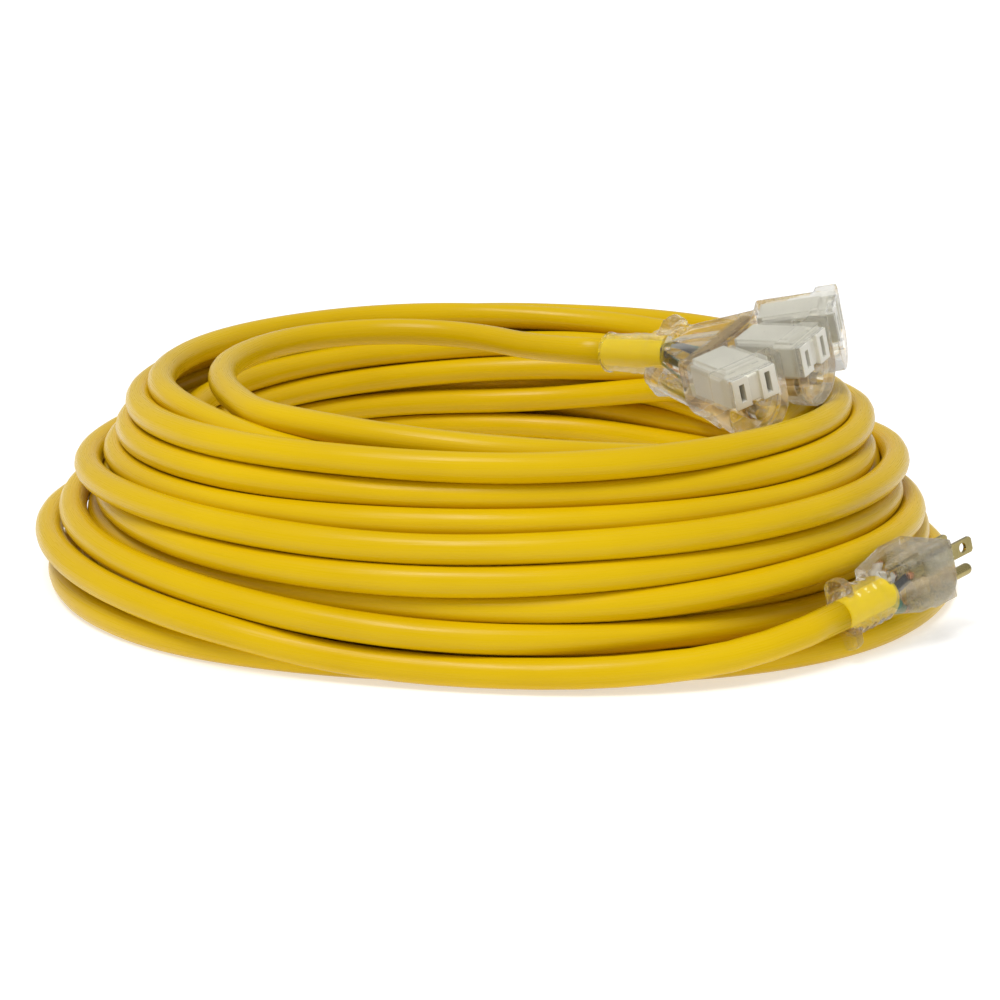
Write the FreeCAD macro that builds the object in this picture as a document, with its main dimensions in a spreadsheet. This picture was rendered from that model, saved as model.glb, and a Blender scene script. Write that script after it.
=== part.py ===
import FreeCAD, Part
import Sketcher
import math
import os
import re

# A coiled 10 gauge, three-conductor extension cord: a moulded plug on one end,
# a three-outlet tap on the other.
# Frame: +Z up, floor at Z = 0, +X to the right of the coil as it is shown, origin under the coil's centre.

Vector = FreeCAD.Vector
Rotation = FreeCAD.Rotation
Placement = FreeCAD.Placement

doc = FreeCAD.newDocument("extension_cord")

# ------------------------------------------------------------ driving dimensions, millimetres and degrees
SIZES = [
    ("cord_diameter", 12.0, "outer jacket of the cord"),
    ("conductor_diameter", 4.4, "10 gauge conductor over its insulation"),
    ("copper_diameter", 2.9, "stranded copper of one conductor"),
    ("coil_bottom_radius", 204.0, "outside of the turns on the floor"),
    ("coil_floor_layer", 13.0, "height of the turns on the floor"),
    ("coil_waist_radius", 190.0, "outside of the turns at mid height"),
    ("coil_waist_height", 36.0, "height where the stack starts to lean in"),
    ("coil_top_radius", 164.0, "outside of the top turns"),
    ("coil_inner_radius", 134.0, "inside of the stack"),
    ("coil_height", 92.0, "top of the stack"),
    ("coil_crown", 9.0, "bevel along the stack's top edges"),
    ("blade_length", 17.5, "blade outside the plug's face"),
    ("blade_root", 13.0, "blade inside the plug"),
    ("blade_height", 6.35, "blade width"),
    ("blade_thickness", 1.5, "blade thickness"),
    ("blade_spacing", 12.7, "centre to centre of the two flat blades"),
    ("blade_hole", 4.0, "hole near the blade's tip"),
    ("blade_hole_reach", 11.9, "face to the centre of the blade's hole"),
    ("blade_chamfer", 1.0, "bevelled corners of the blade's tip"),
    ("crimp_length", 7.0, "crimp barrel behind each blade"),
    ("crimp_diameter", 5.0, "outside of a crimp barrel"),
    ("ground_drop", 11.9, "ground pin below the blades' centre line"),
    ("ground_diameter", 4.8, "ground pin"),
    ("ground_length", 21.0, "ground pin outside the face, tip included"),
    ("ground_root_diameter", 4.2, "ground pin where the plug holds it"),
    ("plug_width", 27.0, "front block of the plug"),
    ("plug_above", 8.5, "flat top above the blades' centre line"),
    ("plug_below", 5.0, "cord axis below the blades' centre line"),
    ("plug_front", 15.0, "length of the plug's front block"),
    ("plug_taper", 17.0, "length of the plug's tapered shoulder"),
    ("plug_neck_width", 19.0, "rear end of the shoulder"),
    ("plug_neck", 18.0, "length of the ribbed neck"),
    ("plug_neck_diameter", 18.0, "ribbed neck"),
    ("plug_flange", 4.0, "thickness of the rear finger flange"),
    ("plug_flange_width", 17.0, "rear finger flange, across"),
    ("plug_flange_height", 30.0, "rear finger flange, over its two ears"),
    ("plug_length", 54.0, "face to the rear of the flange"),
    ("plug_jacket_reach", 26.0, "cord jacket inside the plug"),
    ("rib_width", 2.2, "groove between the neck's ribs"),
    ("rib_depth", 1.1, "depth of those grooves"),
    ("carrier_depth", 13.0, "blade carrier behind the plug's face"),
    ("carrier_width", 21.0, "blade carrier, across"),
    ("carrier_above", 6.0, "blade carrier above the blades' centre line"),
    ("carrier_height", 22.0, "blade carrier, top to bottom"),
    ("wire_room_share", 0.8, "room for the wires, as a share of the blade carrier"),
    ("tap_neck_length", 26.0, "round neck where the cord enters the tap"),
    ("tap_neck_diameter", 17.5, "that neck"),
    ("tap_flange_start", 26.0, "cord entry to the tap's ear flange"),
    ("tap_flange", 6.0, "thickness of the ear flange"),
    ("tap_flange_width", 20.0, "ear flange, across"),
    ("tap_flange_height", 38.0, "ear flange, over its two ears"),
    ("tap_flange_lean", 28.0, "ears lean away from upright, degrees"),
    ("tap_web_above", 10.5, "body between neck and outlets, above the cord axis"),
    ("tap_web_thickness", 23.0, "that body, top to bottom"),
    ("tap_wall", 1.5, "plastic above and below the inner pocket"),
    ("tap_throat_width", 24.0, "body just ahead of the flange"),
    ("tap_shoulder_reach", 82.0, "cord entry to the widest place of the body"),
    ("tap_shoulder_width", 88.0, "body at its widest, between the outlets"),
    ("tap_jacket_reach", 33.0, "cord jacket inside the tap"),
    ("outlet_reach", 106.0, "cord entry to the middle outlet's face"),
    ("outlet_setback", 8.0, "side outlets' faces behind the middle one"),
    ("outlet_pitch", 35.0, "outlet to outlet, across the tap"),
    ("outlet_fan", 25.0, "angle of the side outlets, degrees"),
    ("outlet_length", 36.0, "housing of one outlet"),
    ("outlet_width", 30.0, "housing of one outlet, across"),
    ("outlet_above", 14.0, "housing above the cord axis"),
    ("outlet_round", 4.0, "housing's round underside, its centre below the cord axis"),
    ("slot_rise", 4.0, "blade slots above the cord axis"),
    ("insert_length", 31.0, "white insert of one outlet"),
    ("insert_width", 22.0, "white insert, across"),
    ("insert_height", 14.0, "white insert, top to bottom"),
    ("insert_face", 3.0, "front wall of the insert"),
    ("slot_width", 2.2, "blade slot"),
    ("hot_slot_height", 7.2, "slot for the narrow blade"),
    ("neutral_slot_height", 8.8, "slot for the wide blade"),
    ("chamber_width", 4.6, "room for a contact clip behind its slot"),
    ("chamber_height", 9.6, "room for a contact clip, top to bottom"),
    ("ground_bore", 5.4, "ground hole of an outlet"),
    ("ground_bore_depth", 8.0, "plastic wall of the ground hole"),
    ("sleeve_diameter", 7.2, "ground contact sleeve"),
    ("sleeve_length", 14.0, "ground contact sleeve"),
    ("clip_sheet", 0.6, "sheet brass of clips and bus bars"),
    ("clip_height", 7.0, "contact clip, top to bottom"),
    ("clip_length", 20.0, "leaves of a contact clip"),
    ("clip_gap", 1.3, "gap between a clip's leaves"),
    ("clip_setback", 5.0, "face to the clip's leaves"),
    ("clip_tail", 14.0, "tail from the clip to its bus bar"),
    ("bar_start", 56.5, "cord entry to the bus bars"),
    ("hot_bar_rise", 7.5, "hot bus bar above the cord axis"),
    ("neutral_bar_drop", 0.5, "neutral bus bar below the cord axis"),
    ("tail_height", 3.0, "tail of a blade clip, top to bottom"),
    ("bar_width", 6.0, "bus bar, along the cord axis"),
    ("bar_span", 50.0, "bus bar, across the tap"),
    ("lamp_diameter", 5.0, "power indicator lamp"),
    ("lamp_length", 7.0, "power indicator lamp, dome included"),
    ("resistor_diameter", 2.4, "resistor of the indicator lamp"),
    ("resistor_length", 6.5, "resistor of the indicator lamp"),
    ("lead_wire", 0.7, "bare lead wire of lamp and resistor"),
    ("lamp_reach", 40.0, "cord entry to the lamp's dome"),
    ("lamp_across", 12.0, "lamp beside the cord axis"),
    ("lamp_drop", 6.0, "lamp and resistor below the cord axis"),
    ("lamp_lead_length", 9.0, "lead wires of the lamp"),
    ("lamp_lead_spacing", 2.0, "between the lamp's two lead wires"),
    ("resistor_reach", 42.0, "cord entry to the resistor"),
    ("resistor_across", 13.0, "resistor on the other side of the cord axis"),
    ("resistor_lead", 3.5, "lead wire at each end of the resistor"),
    ("copper_bare", 2.0, "copper seen between insulation and crimp barrel"),
    ("conductor_gap", 0.5, "from a conductor's end to its bus bar"),
]

sheet = doc.addObject("Spreadsheet::Sheet", "Sizes")
for row, (alias, value, meaning) in enumerate(SIZES, start=1):
    sheet.set("A%d" % row, alias)
    sheet.set("B%d" % row, str(value))
    sheet.set("C%d" % row, meaning)
    sheet.setAlias("B%d" % row, alias)
doc.recompute()


def size(alias):
    """Value of one driving dimension."""
    return float(sheet.get(alias))


def formula(text):
    """Turn a formula of bare aliases into one that the expression engine reads."""
    return re.sub(r"\b([a-z]\w*)", r"Sizes.\1", text)


def value(text):
    """Number that a formula gives now."""
    return float(sheet.evalExpression(formula(text)))


def bind(obj, prop, text):
    """Drive one property of an object from the sheet."""
    obj.setExpression(prop, formula(text))


# ---------------------------------------------------------------- where the two ends lie
def pose(x, y, z, yaw, pitch, roll):
    """Place a local frame: +X along the cord axis, turned by yaw, pitched up, then rolled."""
    return Placement(Vector(x, y, z), Rotation(yaw, -pitch, roll))


PLUG_POSE = pose(173.0, -117.0, 33.0, 40.0, 9.5, -9.5)
TAP_POSE = pose(49.6, 5.0, 91.0, -38.0, 5.1, 15.3)

# Routes of the uncoiled stretches, chosen by hand, from the coil towards each end's cord entry.
PLUG_ROUTE = [(-62, -172, 9), (-10, -184, 7), (45, -188, 8)]
TAP_ROUTE = [(-100, -92, 88), (-114, -54, 88.5), (-118, -14, 88.5), (-108, 24, 88), (-89, 48, 88.5),
             (-62, 61.5, 89), (-32, 62.5, 89), (-4, 50.5, 88.5)]
ENTRY_RUN = 40.0


# ---------------------------------------------------------------- small builders
ALONG_X = Rotation(Vector(0, 1, 0), 90)


def block(name, sizes, corner):
    """Box from formulas: its size along X, Y, Z and its low corner."""
    box = doc.addObject("Part::Box", name)
    for prop, text in zip(("Length", "Width", "Height"), sizes):
        bind(box, prop, text)
    for letter, text in zip("xyz", corner):
        bind(box, "Placement.Base." + letter, text)
    return box


def rod(name, diameter, length, start):
    """Cylinder from formulas, along local X, from its start."""
    cylinder = doc.addObject("Part::Cylinder", name)
    cylinder.Placement = Placement(Vector(0, 0, 0), ALONG_X)
    bind(cylinder, "Radius", "(%s) / 2" % diameter)
    bind(cylinder, "Height", length)
    for letter, text in zip("xyz", start):
        bind(cylinder, "Placement.Base." + letter, text)
    return cylinder


def fused(name, pieces):
    union = doc.addObject("Part::MultiFuse", name)
    union.Shapes = pieces
    return union


def grouped(name, pieces):
    group = doc.addObject("Part::Compound", name)
    group.Links = pieces
    return group


def cut(name, base, tools):
    """Base without its tools."""
    result = doc.addObject("Part::Cut", name)
    result.Base = base
    result.Tool = tools[0] if len(tools) == 1 else fused(name + "_tools", tools)
    return result


def sketch_on(body, role, name, offset="0"):
    """Sketch on an origin plane of its own body, moved along the plane's normal."""
    sketch = body.newObject("Sketcher::SketchObject", name)
    plane = next(f for f in body.Origin.OriginFeatures if f.Role == role)
    sketch.AttachmentSupport = (plane, "")
    sketch.MapMode = "FlatFace"
    if offset != "0":
        bind(sketch, "AttachmentOffset.Base.z", offset)
    return sketch


def constrain(sketch, kind, where, name, text):
    """Add a named dimension to a sketch and drive it from the sheet."""
    index = sketch.addConstraint(Sketcher.Constraint(kind, *where, value(text)))
    sketch.renameConstraint(index, name)
    bind(sketch, "Constraints." + name, text)


def outline(sketch, points):
    """Closed outline through points given as pairs of formulas, each corner held by two dimensions."""
    corners = [Vector(value(across), value(up), 0) for across, up in points]
    first = sketch.GeometryCount
    for start, end in zip(corners, corners[1:] + corners[:1]):
        sketch.addGeometry(Part.LineSegment(start, end), False)
    for i, (across, up) in enumerate(points):
        line = first + i
        previous = first + (i - 1) % len(points)
        sketch.addConstraint(Sketcher.Constraint("Coincident", previous, 2, line, 1))
        constrain(sketch, "DistanceX", (-1, 1, line, 1), "across_%d" % i, across)
        constrain(sketch, "DistanceY", (-1, 1, line, 1), "up_%d" % i, up)


def hole(sketch, across, diameter):
    """Round hole in a sketch, centred on its horizontal axis."""
    circle = Part.Circle(Vector(value(across), 0, 0), Vector(0, 0, 1), value(diameter) / 2)
    index = sketch.addGeometry(circle, False)
    constrain(sketch, "DistanceX", (-1, 1, index, 3), "hole_across", across)
    sketch.addConstraint(Sketcher.Constraint("PointOnObject", index, 3, -1))
    constrain(sketch, "Diameter", (index,), "hole_diameter", diameter)


def round_bottomed(sketch, width, top, centre):
    """Flat-topped outline with a half-round bottom, its round centre at a height."""
    half = value(width) / 2
    high = value(top)
    low = value(centre)
    corners = [Vector(-half, low, 0), Vector(-half, high, 0), Vector(half, high, 0), Vector(half, low, 0)]
    for start, end in zip(corners, corners[1:]):
        sketch.addGeometry(Part.LineSegment(start, end), False)
    circle = Part.Circle(Vector(0, low, 0), Vector(0, 0, 1), half)
    sketch.addGeometry(Part.ArcOfCircle(circle, math.pi, 2 * math.pi), False)
    for joint in ((0, 2, 1, 1), (1, 2, 2, 1), (2, 2, 3, 2), (0, 1, 3, 1)):
        sketch.addConstraint(Sketcher.Constraint("Coincident", *joint))
    sketch.addConstraint(Sketcher.Constraint("Vertical", 0))
    sketch.addConstraint(Sketcher.Constraint("Vertical", 2))
    sketch.addConstraint(Sketcher.Constraint("Horizontal", 3, 1, 3, 3))
    sketch.addConstraint(Sketcher.Constraint("PointOnObject", 3, 3, -2))
    constrain(sketch, "Radius", (3,), "round_radius", "(%s) / 2" % width)
    constrain(sketch, "DistanceY", (-1, 1, 3, 3), "round_height", centre)
    constrain(sketch, "DistanceY", (-1, 1, 1, 2), "top_height", top)


def padded(body, sketch, length, both_ways=False):
    """Pad a sketch along its plane's normal, or half of it each way."""
    pad = body.newObject("PartDesign::Pad", body.Name + "_pad")
    pad.Profile = sketch
    pad.Midplane = both_ways
    bind(pad, "Length", length)
    return pad


def revolved(body, sketch, axis):
    turn = body.newObject("PartDesign::Revolution", body.Name + "_turned")
    turn.Profile = sketch
    turn.ReferenceAxis = (sketch, [axis])
    turn.Angle = 360
    return turn


def route_wire(points):
    """Straight runs joined by tangent arcs, each arc as large as its two runs allow."""
    edges = []
    radii = []
    start = points[0]
    for before, corner, after in zip(points, points[1:], points[2:]):
        come = corner - before
        leave = after - corner
        turn = come.getAngle(leave)
        reach = 0.45 * min(come.Length, leave.Length)
        radius = reach / math.tan(turn / 2)
        come.normalize()
        leave.normalize()
        inward = (leave - come).normalize()
        middle = corner + inward * (radius / math.cos(turn / 2) - radius)
        arc_start = corner - come * reach
        arc_end = corner + leave * reach
        edges.append(Part.LineSegment(start, arc_start).toShape())
        edges.append(Part.Arc(arc_start, middle, arc_end).toShape())
        start = arc_end
        radii.append(radius)
    edges.append(Part.LineSegment(start, points[-1]).toShape())
    return Part.Wire(edges), radii


def tube(name, points, diameter):
    """Round solid of one diameter along a route."""
    wire, radii = route_wire(points)
    along = points[1] - points[0]
    section = Part.Wire(Part.makeCircle(diameter / 2, points[0], along))
    piece = doc.addObject("Part::Feature", name)
    piece.Shape = wire.makePipeShell([section], True, False)
    expected = math.pi * (diameter / 2) ** 2 * wire.Length
    print("%s: %.0f mm long, volume %.4f of its section times its length, bend radii %s mm" % (
        name, wire.Length, piece.Shape.Volume / expected, [round(r) for r in radii]))
    return piece


def laid(piece, place):
    """Finish a sub-part by giving it its place in the whole cord."""
    piece.Placement = place
    sub_parts.append(piece)
    return piece


# ---------------------------------------------------------------- the cord
def cord_coil():
    """Outer shape of the stack of turns, with seats where the tap and the plug lie in it."""
    ring = doc.addObject("PartDesign::Body", "coil_ring")
    sketch = sketch_on(ring, "XZ_Plane", "coil_section")
    outline(sketch, [
        ("coil_inner_radius", "0"),
        ("coil_bottom_radius", "0"),
        ("coil_bottom_radius", "coil_floor_layer"),
        ("coil_waist_radius", "coil_waist_height"),
        ("coil_top_radius", "coil_height - coil_crown"),
        ("coil_top_radius - coil_crown", "coil_height"),
        ("coil_inner_radius + coil_crown", "coil_height"),
        ("coil_inner_radius", "coil_height - coil_crown"),
    ])
    revolved(ring, sketch, "V_Axis")
    tap_seat = doc.addObject("Part::Box", "tap_seat")
    bind(tap_seat, "Length", "2 * outlet_reach")
    bind(tap_seat, "Width", "5 * outlet_pitch")
    bind(tap_seat, "Height", "coil_height")
    low = Vector(-10, -2.5 * size("outlet_pitch"), -size("outlet_round") - size("outlet_width") / 2 - 1)
    tap_seat.Placement = TAP_POSE.multiply(Placement(low, Rotation()))
    plug_seat = doc.addObject("Part::Box", "plug_seat")
    bind(plug_seat, "Length", "2 * (plug_front + plug_taper + plug_neck + plug_flange)")
    bind(plug_seat, "Width", "2 * plug_width")
    bind(plug_seat, "Height", "coil_height / 2")
    low = Vector(-size("plug_length") - 2, -1.4 * size("plug_width"), -size("plug_width") / 2 - 8)
    plug_seat.Placement = PLUG_POSE.multiply(Placement(low, Rotation()))
    return laid(cut("cord_coil", ring, [tap_seat, plug_seat]), Placement())


def lead(name, route, place, entry):
    """Uncoiled stretch of cord from the coil to an end, arriving in line with that end's axis."""
    points = [Vector(*point) for point in route]
    end = place.multVec(entry)
    axis = place.Rotation.multVec(Vector(1, 0, 0))
    points += [end - axis * ENTRY_RUN, end]
    laid(tube(name, points, size("cord_diameter")), Placement())


# ---------------------------------------------------------------- the plug
# Local frame: +X out of the face, +Z up, origin on the face midway between the two flat blades.
def plug_neck():
    """Ribbed neck around the cord, turned about the cord's axis."""
    body = doc.addObject("PartDesign::Body", "plug_neck_turned")
    sketch = sketch_on(body, "XY_Plane", "plug_neck_section")
    rear = "-(plug_front + plug_taper + plug_neck)"
    outer = "plug_neck_diameter / 2"
    groove = "plug_neck_diameter / 2 - rib_depth"
    points = [(rear, "0"), ("-(plug_front + plug_taper)", "0"), ("-(plug_front + plug_taper)", outer)]
    for i in range(4):
        front = "-(plug_front + plug_taper + %s * 2 * rib_width)" % (0.75 + i)
        back = "(%s - rib_width)" % front
        points += [(front, outer), (front, groove), (back, groove), (back, outer)]
    points.append((rear, outer))
    outline(sketch, points)
    revolved(body, sketch, "H_Axis")
    bind(body, "Placement.Base.z", "-plug_below")
    return body


def plug_shoulder():
    """Front block with a flat top and round bottom, tapering back to the neck."""
    body = doc.addObject("PartDesign::Body", "plug_shoulder_body")
    face = sketch_on(body, "YZ_Plane", "plug_face_outline", "-plug_front")
    round_bottomed(face, "plug_width", "plug_above", "-plug_below")
    padded(body, face, "plug_front")
    rear = sketch_on(body, "YZ_Plane", "plug_rear_outline", "-(plug_front + plug_taper)")
    round_bottomed(rear, "plug_neck_width", "plug_neck_width / 2 - plug_below", "-plug_below")
    taper = body.newObject("PartDesign::AdditiveLoft", "plug_shoulder_taper")
    taper.Profile = rear
    taper.Sections = [face]
    return body


def plug_body():
    """Clear moulding of the plug, with the room that its inner pieces take."""
    flange = block("plug_finger_flange", ("plug_flange", "plug_flange_width", "plug_flange_height"),
                   ("-plug_length", "-plug_flange_width / 2", "-plug_below - plug_flange_height / 2"))
    outer = fused("plug_outer", [plug_shoulder(), plug_neck(), flange])
    jacket_bore = rod("plug_jacket_bore", "cord_diameter", "plug_jacket_reach",
                      ("-plug_length", "0", "-plug_below"))
    carrier_room = block("plug_carrier_room", ("carrier_depth", "carrier_width", "carrier_height"),
                         ("-carrier_depth", "-carrier_width / 2", "carrier_above - carrier_height"))
    wire_room = block("plug_wire_room",
                      ("plug_length - plug_jacket_reach - carrier_depth",
                       "wire_room_share * carrier_width", "wire_room_share * carrier_height"),
                      ("plug_jacket_reach - plug_length", "-wire_room_share / 2 * carrier_width",
                       "carrier_above - (3 + wire_room_share) / 4 * carrier_height"))
    laid(cut("plug_body", outer, [jacket_bore, carrier_room, wire_room]), PLUG_POSE)


def plug_carrier():
    """White block that holds the two blades and the ground pin in line."""
    base = block("carrier_block", ("carrier_depth", "carrier_width", "carrier_height"),
                 ("-carrier_depth", "-carrier_width / 2", "carrier_above - carrier_height"))
    holes = []
    for side in ("-", ""):
        holes.append(block("carrier_slot", ("carrier_depth", "blade_thickness", "blade_height"),
                           ("-carrier_depth", side + "blade_spacing / 2 - blade_thickness / 2",
                            "-blade_height / 2")))
    holes.append(rod("carrier_bore", "ground_root_diameter", "carrier_depth",
                     ("-carrier_depth", "0", "-ground_drop")))
    laid(cut("plug_blade_carrier", base, holes), PLUG_POSE)


def crimp(name, across, height):
    """Barrel that grips a conductor's copper behind a blade or pin."""
    return rod(name, "crimp_diameter", "crimp_length", ("-blade_root - crimp_length", across, height))


def crimped_copper(name, across, height):
    """Round copper that reaches half-way into a crimp barrel."""
    return rod(name, "copper_diameter", "crimp_length / 2 + copper_bare",
               ("-blade_root - crimp_length - copper_bare", across, height))


def flat_blade(name, across):
    """Flat blade with a bevelled tip, a round hole and a crimp barrel behind."""
    body = doc.addObject("PartDesign::Body", name + "_sheet")
    sketch = sketch_on(body, "XZ_Plane", name + "_outline")
    outline(sketch, [
        ("-blade_root", "-blade_height / 2"),
        ("blade_length - blade_chamfer", "-blade_height / 2"),
        ("blade_length", "blade_chamfer - blade_height / 2"),
        ("blade_length", "blade_height / 2 - blade_chamfer"),
        ("blade_length - blade_chamfer", "blade_height / 2"),
        ("-blade_root", "blade_height / 2"),
    ])
    hole(sketch, "blade_hole_reach", "blade_hole")
    padded(body, sketch, "blade_thickness", both_ways=True)
    bind(body, "Placement.Base.y", across)
    whole = fused(name + "_whole", [body, crimp(name + "_barrel", across, "0")])
    laid(cut(name, whole, [crimped_copper(name + "_bore", across, "0")]), PLUG_POSE)


def ground_pin():
    """Round ground pin with a domed tip and a crimp barrel behind."""
    shaft = rod("ground_shaft", "ground_diameter", "ground_length - ground_diameter / 2",
                ("0", "0", "-ground_drop"))
    root = rod("ground_root", "ground_root_diameter", "blade_root", ("-blade_root", "0", "-ground_drop"))
    tip = doc.addObject("Part::Sphere", "ground_tip")
    bind(tip, "Radius", "ground_diameter / 2")
    bind(tip, "Placement.Base.x", "ground_length - ground_diameter / 2")
    bind(tip, "Placement.Base.z", "-ground_drop")
    whole = fused("ground_whole", [shaft, root, tip, crimp("ground_barrel", "0", "-ground_drop")])
    laid(cut("ground_pin", whole, [crimped_copper("ground_crimp_bore", "0", "-ground_drop")]), PLUG_POSE)


def plug_wiring():
    """Jacket end, the three insulated conductors and their bare copper ends inside the plug."""
    jacket = rod("plug_jacket", "cord_diameter", "plug_jacket_reach", ("-plug_length", "0", "-plug_below"))
    laid(grouped("plug_jacket_end", [jacket]), PLUG_POSE)
    # The three conductors touch one another round the cord's axis.
    twist_radius = size("conductor_diameter") / math.sqrt(3)
    drop = -size("plug_below")
    back = -size("plug_length") + size("plug_jacket_reach")
    front = -size("blade_root") - size("crimp_length") - size("copper_bare")
    blade = size("blade_spacing") / 2
    for colour, across, up, goal_across, goal_up in (
        ("black", -size("conductor_diameter") / 2, twist_radius / 2, -blade, 0),
        ("white", size("conductor_diameter") / 2, twist_radius / 2, blade, 0),
        ("green", 0, -twist_radius, 0, -size("ground_drop")),
    ):
        ends = [Vector(back, across, drop + up), Vector(front, goal_across, goal_up)]
        laid(tube("plug_%s_conductor" % colour, ends, size("conductor_diameter")), PLUG_POSE)
    coppers = []
    for across, height in (("-blade_spacing / 2", "0"), ("blade_spacing / 2", "0"), ("0", "-ground_drop")):
        coppers.append(crimped_copper("plug_copper", across, height))
    laid(grouped("plug_copper_ends", coppers), PLUG_POSE)


# ---------------------------------------------------------------- the three-outlet tap
# Local frame: +X from the cord entry towards the outlets, +Z up, origin at the cord entry on the axis.
def outlet_places():
    """Where each outlet's face lies in the tap: +X out of the face, origin on the cord's level."""
    side = size("outlet_reach") - size("outlet_setback")
    fan = size("outlet_fan")
    pitch = size("outlet_pitch")
    return {
        "front": Placement(Vector(side, -pitch, 0), Rotation(-fan, 0, 0)),
        "middle": Placement(Vector(size("outlet_reach"), 0, 0), Rotation()),
        "rear": Placement(Vector(side, pitch, 0), Rotation(fan, 0, 0)),
    }


def outlet_housing(place):
    """Clear housing of one outlet, with a flat top and a round bottom."""
    body = doc.addObject("PartDesign::Body", "outlet_housing")
    sketch = sketch_on(body, "YZ_Plane", "outlet_outline", "-outlet_length")
    round_bottomed(sketch, "outlet_width", "outlet_above", "-outlet_round")
    padded(body, sketch, "outlet_length")
    body.Placement = place
    return body


def outlet_rooms(place):
    """What one outlet's insert, ground hole and ground sleeve leave open in the housing."""
    rooms = [
        block("insert_room", ("insert_length", "insert_width", "insert_height"),
              ("-insert_length", "-insert_width / 2", "slot_rise - insert_height / 2")),
        rod("ground_hole", "ground_bore", "ground_bore_depth",
            ("-ground_bore_depth", "0", "slot_rise - ground_drop")),
        rod("sleeve_room", "sleeve_diameter", "outlet_length - ground_bore_depth",
            ("-outlet_length", "0", "slot_rise - ground_drop")),
    ]
    group = fused("outlet_rooms", rooms)
    group.Placement = place
    return group


def tap_body(places):
    """Clear moulding of the tap, with the room that its inner pieces take."""
    web = doc.addObject("PartDesign::Body", "tap_web")
    sketch = sketch_on(web, "XY_Plane", "tap_web_outline", "tap_web_above - tap_web_thickness")
    outline(sketch, [
        ("tap_flange_start", "-tap_throat_width / 2"),
        ("tap_flange_start + 2 * tap_flange", "-tap_throat_width / 2"),
        ("tap_shoulder_reach", "-tap_shoulder_width / 2"),
        ("tap_shoulder_reach", "tap_shoulder_width / 2"),
        ("tap_flange_start + 2 * tap_flange", "tap_throat_width / 2"),
        ("tap_flange_start", "tap_throat_width / 2"),
    ])
    padded(web, sketch, "tap_web_thickness")
    neck = rod("tap_neck", "tap_neck_diameter", "tap_neck_length + tap_flange", ("0", "0", "0"))
    ears = block("tap_ear_flange", ("tap_flange", "tap_flange_width", "tap_flange_height"),
                 ("0", "-tap_flange_width / 2", "-tap_flange_height / 2"))
    leaned = grouped("tap_ears", [ears])
    lean = Rotation(0, 0, -size("tap_flange_lean"))
    leaned.Placement = Placement(Vector(size("tap_flange_start"), 0, 0), lean)
    housings = [outlet_housing(place) for place in places.values()]
    outer = fused("tap_outer", [web, neck, leaned] + housings)
    pocket = doc.addObject("PartDesign::Body", "tap_pocket")
    inside = sketch_on(pocket, "XY_Plane", "tap_pocket_outline",
                       "tap_web_above - tap_web_thickness + tap_wall")
    outline(inside, [
        ("tap_jacket_reach", "-tap_throat_width / 2 + 3 * tap_wall"),
        ("bar_start - 3 * tap_wall", "-bar_span / 2 - tap_wall"),
        ("tap_shoulder_reach - 8 * tap_wall", "-bar_span / 2 - 3 * tap_wall"),
        ("tap_shoulder_reach - 8 * tap_wall", "bar_span / 2 + 3 * tap_wall"),
        ("bar_start - 3 * tap_wall", "bar_span / 2 + tap_wall"),
        ("tap_jacket_reach", "tap_throat_width / 2 - 3 * tap_wall"),
    ])
    padded(pocket, inside, "tap_web_thickness - 2 * tap_wall")
    jacket_bore = rod("tap_jacket_bore", "cord_diameter", "tap_jacket_reach", ("0", "0", "0"))
    rooms = [outlet_rooms(place) for place in places.values()]
    laid(cut("tap_body", outer, [pocket, jacket_bore] + rooms), TAP_POSE)


def outlet_insert(outlet, place):
    """White insert with a slot and a clip chamber for each blade."""
    base = block("insert_block", ("insert_length", "insert_width", "insert_height"),
                 ("-insert_length", "-insert_width / 2", "slot_rise - insert_height / 2"))
    openings = []
    for side, height in (("-", "hot_slot_height"), ("", "neutral_slot_height")):
        openings.append(block("blade_slot", ("insert_face", "slot_width", height),
                              ("-insert_face", side + "blade_spacing / 2 - slot_width / 2",
                               "slot_rise - %s / 2" % height)))
        openings.append(block("clip_chamber",
                              ("insert_length - insert_face", "chamber_width", "chamber_height"),
                              ("-insert_length", side + "blade_spacing / 2 - chamber_width / 2",
                               "slot_rise - chamber_height / 2")))
    laid(cut("%s_outlet_insert" % outlet, base, openings), TAP_POSE.multiply(place))


def blade_contact(name, place, across, tail_low):
    """Sprung clip of two leaves behind a blade slot, with a tail back to its bus bar."""
    leaves = []
    rise = "slot_rise - clip_height / 2"
    for edge in ("clip_gap / 2", "-clip_gap / 2 - clip_sheet"):
        leaves.append(block("clip_leaf", ("clip_length", "clip_sheet", "clip_height"),
                            ("-clip_setback - clip_length", "%s + %s" % (across, edge), rise)))
    back = block("clip_back", ("clip_sheet", "clip_gap + 2 * clip_sheet", "clip_height"),
                 ("-clip_setback - clip_length - clip_sheet",
                  "%s - clip_gap / 2 - clip_sheet" % across, rise))
    tail = block("clip_tail_strip",
                 ("insert_length + clip_tail - clip_setback - clip_length", "clip_sheet", "tail_height"),
                 ("-insert_length - clip_tail", "%s - clip_sheet / 2" % across, tail_low))
    laid(fused(name, leaves + [back, tail]), TAP_POSE.multiply(place))


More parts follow.
